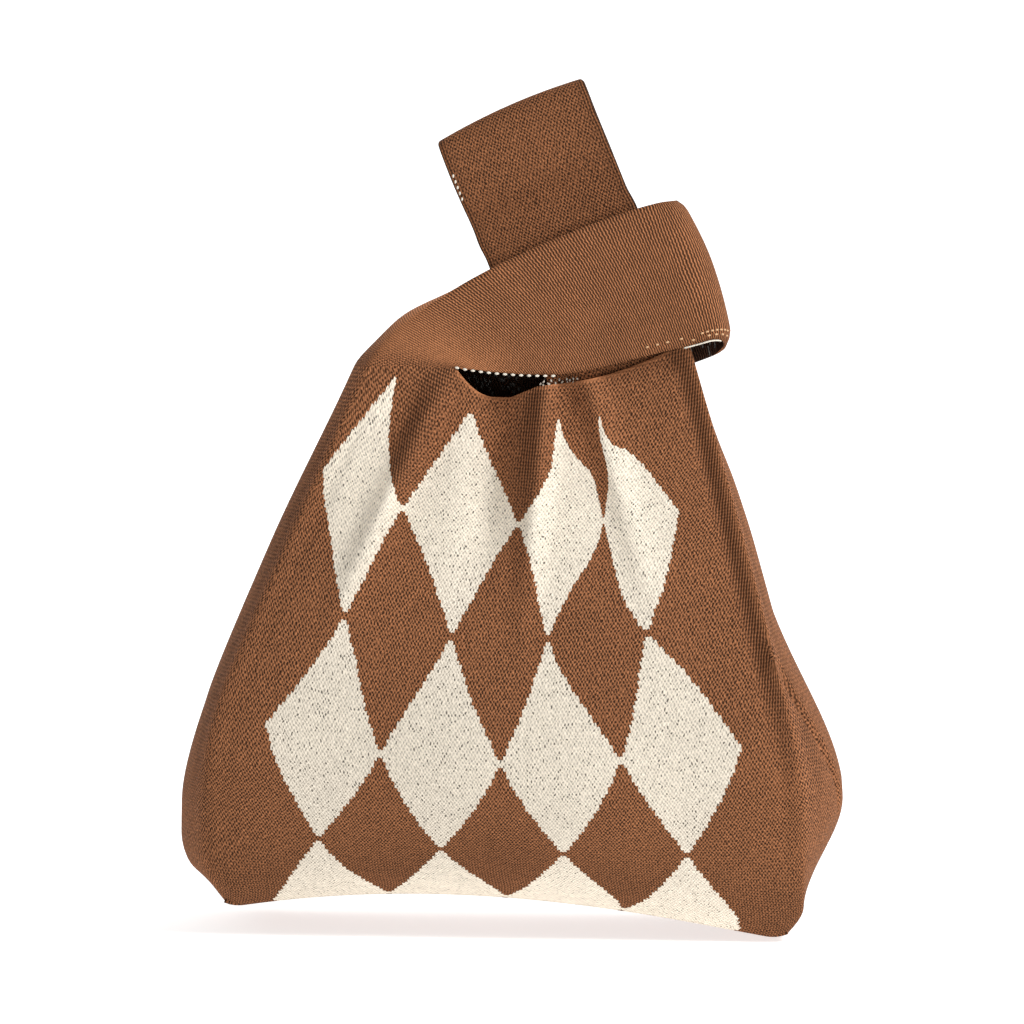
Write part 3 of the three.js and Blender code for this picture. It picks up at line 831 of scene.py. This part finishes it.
def knit_material(name, ground=BROWN, pattern=None, reverse=False):
    """Rows of V-shaped stitches. Pits and shines lie between them in a lattice: cos(across) cos(along) is a
    pit where it is high and a shine where it is low. The pits are painted shade and the shines painted
    highlights, besides the stitches' relief. Where the knit is pulled open its courses or wales stand out as
    ribs, with painted shade between them. pattern is the colour of the argyle's diamonds, |sideways| +
    |upward| < 1, worked stitch by stitch. reverse gives a near-black ground with pale specks: painted shade
    for the pouch's inside."""
    s = Shader(name)
    wales, courses = s.pair("knit")
    courses_open, wales_open = s.pair("pull")
    even_wales, taut_and_lit = s.pair("relief")

    # The grid of stitches, swayed by noise, with each row bent into Vs.
    sway = 0.7 * (s.noise(160.0, rough=0.6) - 0.5)
    u = even_wales + sway
    row = courses + 1.1 * (s.noise(80.0) - 0.5) - 0.4 * (u.part() - 0.5).size()
    each = s.per_stitch(u.floor(), row.floor())
    between_courses = 0.5 + 0.5 * (row * FULL_TURN).cos()
    between_wales = 0.5 + 0.5 * (u * FULL_TURN).cos()

    # The lattice of pits and shines, a little coarser than the wales and slanting across them.
    pits_per_wale, pits_per_course = 0.8, 1.3
    across = pits_per_wale * (u + 1.1 * (s.noise(430.0, 1.0) - 0.5))
    along = pits_per_course * (row + 1.2 * (s.noise(390.0, 1.0) - 0.5))
    lattice = (across * FULL_TURN).cos() * (along * math.pi).cos()
    slant, level = across + 0.5 * along, (along + 0.5).floor()
    pit = s.per_stitch((slant + 0.5).floor(), level)
    shine = s.per_stitch(slant.floor(), level + 0.5)
    loose = (1 - 1.8 * taut_and_lit).clamped()
    pits = (1.3 * lattice).clamped() * loose
    shines = (-1.3 * lattice).clamped() * (0.2 + shine) * loose

    # How dark each place is, as painted shade in the knit's hollows: deep in the pits, between courses and
    # wales, and less where the yarn shines, which is painted highlight.
    open_patch = 0.4 + 1.2 * s.noise(40.0)
    cloud = s.noise(14.0, 3.0)
    fuzz = s.noise(2600.0)
    holes = pits * (0.5 + 0.92 * pit) * (0.4 + 0.6 * open_patch)
    holes = holes * (1 - 0.8 * courses_open) * (1 - 0.9 * wales_open)
    dark = between_courses * (0.12 + 0.14 * open_patch) + holes
    dark = dark + between_courses * courses_open * (0.55 + 0.75 * s.noise(60.0))
    dark = dark + between_wales * wales_open * (0.85 + 0.25 * between_courses)
    shown_shines = 0.6 * shines * (1 - 0.7 * courses_open) * (1 - 0.8 * wales_open)
    dark = dark * (1 - 0.5 * taut_and_lit) - shown_shines

    # The argyle's diamonds, or on the reverse side a near-black ground, painted shade for the pouch's
    # inside, with pale specks of yarn.
    colour = ground
    if pattern is not None:
        column, line = (wales + sway).floor() + 0.5, row.floor() + 0.5
        half_wide, half_high = ARGYLE_WALES / 2, ARGYLE_COURSES / 2
        sideways = (column.wrapped(ARGYLE_WALES) - half_wide).size() / half_wide
        upward = ((line + half_high).wrapped(ARGYLE_COURSES) - half_high).size() / half_high
        in_argyle = column.size().below(2 * ARGYLE_WALES) * line.below(2.5 * ARGYLE_COURSES)
        diamond = (sideways + upward).below(1) * in_argyle
        colour = s.blend("MIX", diamond, ground, pattern)
        deep_pit = (0.86 - pit).below(0)
        pale_pits = pits * (0.2 + 0.28 * pit + 0.34 * deep_pit) * (1 - 0.6 * wales_open)
        pale_dark = between_courses * 0.05 + pale_pits - 0.14 * shines
        dark = dark + diamond * (pale_dark - dark)
    elif reverse:
        colour = s.blend("MIX", each.below(SPECK_SHARE), REVERSE_PAINTED_SHADE, REVERSE_SPECK)

    # How bright the yarn is: uneven from stitch to stitch and over the cloth, paler where it is pulled, and
    # paler again where it is taut and lit, a painted highlight.
    uneven = (0.93 + 0.14 * each) * (0.86 + 0.28 * cloud) * (0.86 + 0.28 * fuzz)
    bright = 1.33 + 0.76 * courses_open + 0.3 * wales_open + 1.25 * taut_and_lit
    light = (1 - dark.at_most(DARKEST)) * uneven * bright
    return s.skin({
        "Base Color": s.blend("MULTIPLY", 1.0, colour, s.grey(light)), "Roughness": 0.92,
        "Normal": s.relief(0.2 * fuzz - dark, 0.7, 0.0007), "Specular IOR Level": 0.15})


shell.data.materials.append(knit_material("argyle_knit", pattern=CREAM))
# The wall's inner face, near black: painted shade inside the pouch, with pale specks.
shell.data.materials.append(knit_material("knit_reverse_painted_shade", reverse=True))
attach(shell, "root")
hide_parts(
    "front_panel", "back_panel", "left_gusset", "right_gusset", "front_left_seam", "front_right_seam",
    "back_left_seam", "back_right_seam", "front_mouth_hem", "back_mouth_hem", "short_handle_front",
    "short_handle_back", "short_handle_fold", "short_handle_shoulder")


# Base: the bottom of the pouch
# A plain strip of the same double knit, linked to the foot of the panels and the gussets. It sags upwards
# between the two ends that the bag stands on.

BASE_HALF_WALES, BASE_COURSES = 98, 52


def base_patch():
    """Straight lines from the front panel's foot to the back panel's."""

    def place(side, share):
        foot = np.full_like(side, FOOT)
        return mix(panel(-1, side, foot), panel(1, side, foot), share[..., None])

    def stitches(side, share):
        return side * BASE_HALF_WALES, share * BASE_COURSES

    return patch(place, np.linspace(-1, 1, 97), np.linspace(0, 1, 33), stitches)


base = sheet_mesh("knit_base", [base_patch()])
if sum(face.normal.z for face in base.data.polygons) > 0:
    base.data.flip_normals()
add_wall(base, WALL, -1)
base.data.materials.append(knit_material("brown_knit"))
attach(base, "root")
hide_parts("base_panel")


# Long handle: from the pouch's right shoulder into the short handle
# Two layers of the same knit, front and back, that run up through the short handle's loop. It is drawn out
# of the pouch by sliding.

LAYER = 7.4
COURSE = 1.45
INSIDE_PANEL = WALL + 0.8
HANDLE_LOW, HANDLE_HIGH = STRAP_ROOT - 6, -38
LAYERS_LEVEL = -42


def long_layer(facing):
    """One layer. It starts just inside the panel and comes smoothly to its own distance from the middle."""

    def place(side, length):
        x, _, z = np.moveaxis(strap(side, length), -1, 0)
        panel_y = np.abs(panel(facing, (x - middle_x(z)) / half_width(z), z)[..., 1])
        y = mix(panel_y - INSIDE_PANEL, LAYER, above(length, HANDLE_LOW, LAYERS_LEVEL - HANDLE_LOW))
        return strap(side, length, facing * y)

    def stitches(side, length):
        return side / WALE, length / COURSE

    sides = np.linspace(5 - STRAP_HALF_WIDTH, STRAP_HALF_WIDTH, 41)
    return patch(place, sides, np.linspace(HANDLE_LOW, HANDLE_HIGH, 21), stitches)


long_handle = sheet_mesh("knit_long_handle", [long_layer(-1), long_layer(1)])
handle_knit = knit_material("handle_knit", srgb(123, 79, 51))
long_handle.data.materials.append(handle_knit)
add_wall(long_handle, WALL, 0)
tuple(strap(0, -62.0) * 0.001)
tuple(strap(0, -40.0) * 0.001)
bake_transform(long_handle)
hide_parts("long_handle_front_foot", "long_handle_back_foot")


# Carry loop: the end of the long handle, folded over at the top
# The same band of knit, doubled over, so that a hand goes between its two layers. Where it leaves the
# short handle its layers lie close together.

LOOP_TOP, LOOP_LOW = 51, -40
LOOP_WALL = 3.4


def loop_patch():
    """Up the front layer, half round the top and down the back one. run is the length along this way. The
    top edge is askew and arched, and a little narrower right at the fold."""
    straight_top = LOOP_TOP - LAYER
    straight = straight_top - LOOP_LOW
    curve = math.pi * LAYER
    total = 2 * straight + curve

    def place(side, run):
        from_top = np.abs(run - total / 2)
        reach = 1 + (1 - 2 * drop(from_top / 6)) / STRAP_HALF_WIDTH
        turn = ((run - straight) / LAYER).clip(0, math.pi)
        round_top = straight_top + LAYER * np.sin(turn)
        length = np.where(run > straight + curve, LOOP_LOW + total - run, round_top)
        length = np.where(run < straight, LOOP_LOW + run, length)
        y = (5.2 * bump(length, 10.5, 9) - LAYER) * np.cos(turn)
        high = above(length, 5, 35)
        askew = 0.045 * side + 1.9 * (1 - (side / STRAP_HALF_WIDTH) ** 2) + 1.2
        return strap(side * reach - above(length, -5, 10) - 0.9 * high, length + askew * high, y)

    def stitches(side, run):
        return side / WALE, run / COURSE

    def pull(side, run):
        return 0 * run, bell((1 - np.abs(side) / STRAP_HALF_WIDTH) / 0.1)

    sides = np.linspace(-STRAP_HALF_WIDTH, STRAP_HALF_WIDTH, 49)
    return patch(place, sides, np.linspace(0, total, 181), stitches, pull)


carry_loop = sheet_mesh("knit_carry_loop", [loop_patch()])
carry_loop.data.materials.append(handle_knit)
add_wall(carry_loop, LOOP_WALL, -1)
tuple(strap(0, -9.0) * 0.001)
tuple(strap(0, 9.0) * 0.001)
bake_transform(carry_loop)
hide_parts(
    "long_handle_front_slide", "long_handle_back_slide", "carry_loop_band", "carry_loop_roll",
    "carry_loop_left_edging", "carry_loop_right_edging")


# Edge stitches: pale yarn whipped over the short handle's lower edges
# On the real bag they show as rows of small beads where the double knit was bound off, with a pale bound
# line at the handle's right end and loose ends of the reverse side's yarn on the mouth's rim.

BEAD_RINGS, BEAD_SEGMENTS = 5, 8


def bead_shape():
    """Points and faces of a ball of radius 1 with its poles on X: (cos a, sin a cos b, sin a sin b)."""
    tilt = np.linspace(0, math.pi, BEAD_RINGS + 1)[1:-1]
    spin = np.arange(BEAD_SEGMENTS) * FULL_TURN / BEAD_SEGMENTS
    a, b = np.meshgrid(tilt, spin, indexing="ij")
    rings = np.stack([np.cos(a), np.sin(a) * np.cos(b), np.sin(a) * np.sin(b)], -1).reshape(-1, 3)
    points = np.vstack([[1, 0, 0], rings, [-1, 0, 0]])
    last = len(points) - 1
    here = np.arange(BEAD_SEGMENTS)
    after = (here + 1) % BEAD_SEGMENTS
    faces = [(0, 1 + n, 1 + k) for k, n in zip(here, after)]
    for start in range(1, last - BEAD_SEGMENTS, BEAD_SEGMENTS):
        low = start + BEAD_SEGMENTS
        faces += [(start + k, start + n, low + n, low + k) for k, n in zip(here, after)]
    start = last - BEAD_SEGMENTS
    faces += [(last, start + k, start + n) for k, n in zip(here, after)]
    return points, faces


def bead_row(name, spots, length, width, yarn):
    """A row of small ellipsoids in one mesh. A spot is a place and the direction in which a bead is long."""
    ball, faces = bead_shape()
    places, ways = spots[:, 0], spots[:, 1]
    ways = ways / np.linalg.norm(ways, axis=1, keepdims=True)
    others = np.cross(ways, [0, 1, 0])
    others /= np.linalg.norm(others, axis=1, keepdims=True)
    axes = np.stack([ways, others, np.cross(ways, others)], 1)
    points = places[:, None] + (ball * [length / 2, width / 2, width / 2]) @ axes
    all_faces = [tuple(int(i) + k * len(ball) for i in face) for k in range(len(places)) for face in faces]
    mesh = bpy.data.meshes.new(name)
    mesh.from_pydata((points.reshape(-1, 3) * MM).tolist(), [], all_faces)
    turn_outwards(mesh)
    mesh.materials.append(yarn)
    return add_object(name, mesh)


def yarn_material(name, colour):
    """Fibres are noise in the tone and in the relief."""
    s = Shader(name)
    fibre = s.noise(900.0, 3.0)
    return s.skin({
        "Base Color": s.blend("MULTIPLY", 1.0, colour, s.grey(0.8 + 0.4 * fibre)), "Roughness": 0.85,
        "Normal": s.relief(fibre, 0.5, 0.0004), "Sheen Weight": 0.1})


def edge_spots(facing, start, end, pitch):
    """Spots at an even pitch along a leg's lower edge, between two shares of its length."""
    line = bezier(*leg_edges(facing)[1], np.linspace(0, 1, 400))
    run = np.concatenate([[0], np.cumsum(np.linalg.norm(np.diff(line, axis=0), axis=1))])

    def place(length):
        return np.stack([np.interp(length, run, line[:, k]) for k in range(3)], -1)

    length = np.arange(run[-1] * start, run[-1] * end, pitch)
    return np.stack([place(length) + [0, facing * 0.1, -0.5], place(length + 1) - place(length)], 1)


def band_spots(height, start, end, pitch):
    """Spots on the front leg (run 0 to 1) and round the fold (run 1 to 2), at a share of their height."""

    def place(run):
        on_leg = leg(-1, np.full_like(run, MOUTH_SIDE - height * (MOUTH_SIDE + 1)), run)
        on_fold = band_fold(np.full_like(run, height), (run - 1.5) * math.pi)
        return np.where(run[..., None] < 1, on_leg, on_fold)

    run = np.arange(start, end, pitch)
    return np.stack([place(run), place(run + 0.002) - place(run)], 1)


def rim_spots(start, end, count):
    """Ends of reverse yarn that show on the front rim, right of its middle, scattered by sine waves."""
    k = np.arange(count)
    x = np.linspace(start, end, count) + 0.5 * np.sin(2.4 * k)
    z = rim_height(-1, x)
    places = panel(-1, (x - middle_x(z)) / half_width(z), z)
    up = 0.8 + 0.9 * np.sin(4.1 * k)
    lifted = places + np.stack([0 * k, 0.4 + 0 * k, up], -1)
    return np.stack([lifted, np.stack([0.6 * np.cos(3.3 * k), 0 * k, 1 + 0 * k], -1)], 1)


def loop_spots(start, end, pitch):
    """Spots up the left edge of the carry loop's front layer."""
    places = strap(-STRAP_HALF_WIDTH - 1.4, np.arange(start, end, pitch), -LAYER)
    return np.stack([places, np.broadcast_to(ALONG + 0.4 * ACROSS, places.shape)], 1)


cream_yarn = yarn_material("edging_yarn", srgb(226, 218, 202))
worn_yarn = yarn_material("worn_yarn", srgb(214, 170, 126))
rim_yarn = yarn_material("rim_yarn", srgb(176, 166, 152))

front_beads = bead_row("edge_stitches_front", edge_spots(-1, 0.01, 0.4, 3.4), 1.9, 1.1, cream_yarn)
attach(front_beads, "root")
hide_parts("short_handle_front_edging")

back_beads = bead_row("edge_stitches_back", edge_spots(1, 0.01, 0.42, 3.4), 1.9, 1.2, cream_yarn)
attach(back_beads, "root")
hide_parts("short_handle_back_edging")

low_line = band_spots(0.06, 0.94, 1.42, 0.06)
lowest_line = band_spots(0.032, 0.97, 1.42, 0.1)
line_on_leg = band_spots(0.06, 0.84, 0.9, 0.03)
worn_spots = np.concatenate([low_line, lowest_line, line_on_leg])
worn_beads = bead_row("edge_stitches_worn", worn_spots, 1.5, 0.9, worn_yarn)
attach(worn_beads, "root")

rim_beads = bead_row("edge_stitches_rim", rim_spots(12, 27, 17), 1.3, 0.8, rim_yarn)
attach(rim_beads, "root")

bound_spots = np.concatenate([band_spots(0.0, 0.945, 1.0, 0.01), band_spots(0.0, 1.0, 1.25, 0.035)])
bound_spots[:, 0] -= [0, 0, 0.4]
bound_beads = bead_row("edge_stitches_bound", bound_spots, 2.4, 0.7, cream_yarn)
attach(bound_beads, "root")

loop_beads = bead_row("edge_stitches_loop", loop_spots(24, 36, 2.6), 1.6, 0.9, cream_yarn)
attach(loop_beads, "carry_loop")


# Studio: pale floor, soft light and the photo's camera
# White paper that curves up behind the bag, a soft box above and to the right, a weak one at the left, and
# a long lens a little above the bag's middle. These are in metres.

BACKDROP_HALF_WIDTH, BACKDROP_NEAR, BACKDROP_TOP = 9, -9, 5
CURVE_START, CURVE_RADIUS = 2.2, 1.0
PAPER_GLOW = 0.88


def backdrop_mesh():
    """A floor that turns up into a wall over a quarter of a circle: z over y, swept along X."""
    turn = np.linspace(0, math.pi / 2, 17)
    wall_y = CURVE_START + CURVE_RADIUS
    y = np.concatenate([[BACKDROP_NEAR], CURVE_START + CURVE_RADIUS * np.sin(turn), [wall_y]])
    z = np.concatenate([[0], CURVE_RADIUS - CURVE_RADIUS * np.cos(turn), [BACKDROP_TOP]])
    sweep = [np.stack([np.full_like(y, x), y, z], -1) for x in (-BACKDROP_HALF_WIDTH, BACKDROP_HALF_WIDTH)]
    n = len(y)
    mesh = bpy.data.meshes.new("backdrop")
    mesh.from_pydata(np.concatenate(sweep).tolist(), [], [(k, k + n, k + n + 1, k + 1) for k in range(n - 1)])
    return mesh


def paper_material():
    """Glows a little more towards the back: 0.8 to 1 over y, so that the floor fades into white."""
    s = Shader("paper")
    y = s.out(s.add("ShaderNodeSeparateXYZ", {}, {"Vector": s.where()}), "Y")
    glow = 0.8 + 0.2 * ((y - 0.3) * 0.7).clamped()
    return s.skin({
        "Base Color": (0.7, 0.7, 0.7, 1), "Roughness": 0.9, "Emission Color": s.grey(glow),
        "Emission Strength": PAPER_GLOW})


floor = add_object("backdrop", backdrop_mesh())
floor.data.materials.append(paper_material())

world = bpy.data.worlds.new("studio")
world.use_nodes = True
bpy.context.scene.world = world
sky = world.node_tree.nodes["Background"]
sky.inputs["Color"].default_value = (1, 1, 1, 1)
sky.inputs["Strength"].default_value = 0.3

BAG_MIDDLE = (0, 0, 0.15)


def soft_light(name, place, size, watts):
    """A square area light that points at the bag."""
    lamp = bpy.data.lights.new(name, "AREA")
    lamp.shape = "RECTANGLE"
    lamp.size = lamp.size_y = size
    lamp.energy = watts
    thing = bpy.data.objects.new(name, lamp)
    thing.location = place
    way = np.array(BAG_MIDDLE, float) - np.array(place, float)
    tilt = math.acos(-way[2] / np.linalg.norm(way))
    thing.rotation_euler = (tilt, 0, math.atan2(way[1], way[0]) - math.pi / 2)
    bpy.context.collection.objects.link(thing)


soft_light("key", (1.4, -0.7, 1.8), 0.7, 45)
soft_light("fill", (-1.9, -0.9, 0.7), 1.6, 0.25)

AZIMUTH, ELEVATION = math.radians(4), math.radians(4)
DISTANCE = 1.8
TARGET = np.array([-0.0011, 0.0, 0.1777])
LENS_MM, SENSOR_MM = 148.4, 36

level = math.cos(ELEVATION)
towards_camera = np.array([math.sin(AZIMUTH) * level, -math.cos(AZIMUTH) * level, math.sin(ELEVATION)])
camera_data = bpy.data.cameras.new("camera")
camera_data.lens = LENS_MM
camera_data.sensor_width = SENSOR_MM
camera = bpy.data.objects.new("camera", camera_data)
camera.location = TARGET + towards_camera * DISTANCE
camera.rotation_euler = (math.pi / 2 - ELEVATION, 0, AZIMUTH)
bpy.context.collection.objects.link(camera)
bpy.context.scene.camera = camera
bpy.context.scene.view_settings.view_transform = "Standard"
